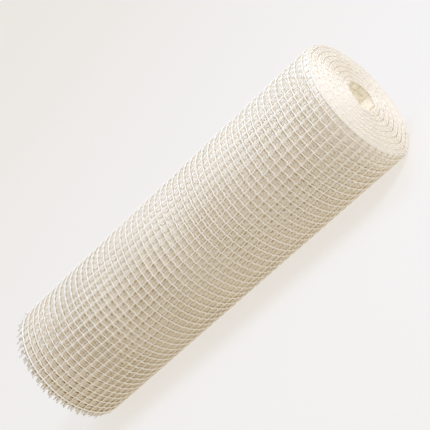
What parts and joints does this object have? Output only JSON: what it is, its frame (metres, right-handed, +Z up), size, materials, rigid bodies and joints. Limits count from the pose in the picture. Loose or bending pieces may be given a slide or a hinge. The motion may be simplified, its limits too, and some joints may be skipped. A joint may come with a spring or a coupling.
{
  "type": "roll of plastic mesh",
  "caption": "Roll of cream-white square plastic mesh, wound on itself round an empty middle, to be cut to length for fencing, netting or plant support.",
  "frame": {"origin": "on the floor, at the middle of the flattened strip that the roll rests on, under its axis and halfway along it", "axes": "+X along the roll's axis, towards the end whose middle turns stand out; +Z up; -Y towards the front"},
  "size_m": [0.5, 0.1555, 0.1506],
  "materials": {
    "mesh_plastic": "satin, slightly translucent cream-white polyethylene"
  },
  "bodies": {
    "root": {"mesh_roll": "mesh_plastic"}
  },
  "joints": []
}
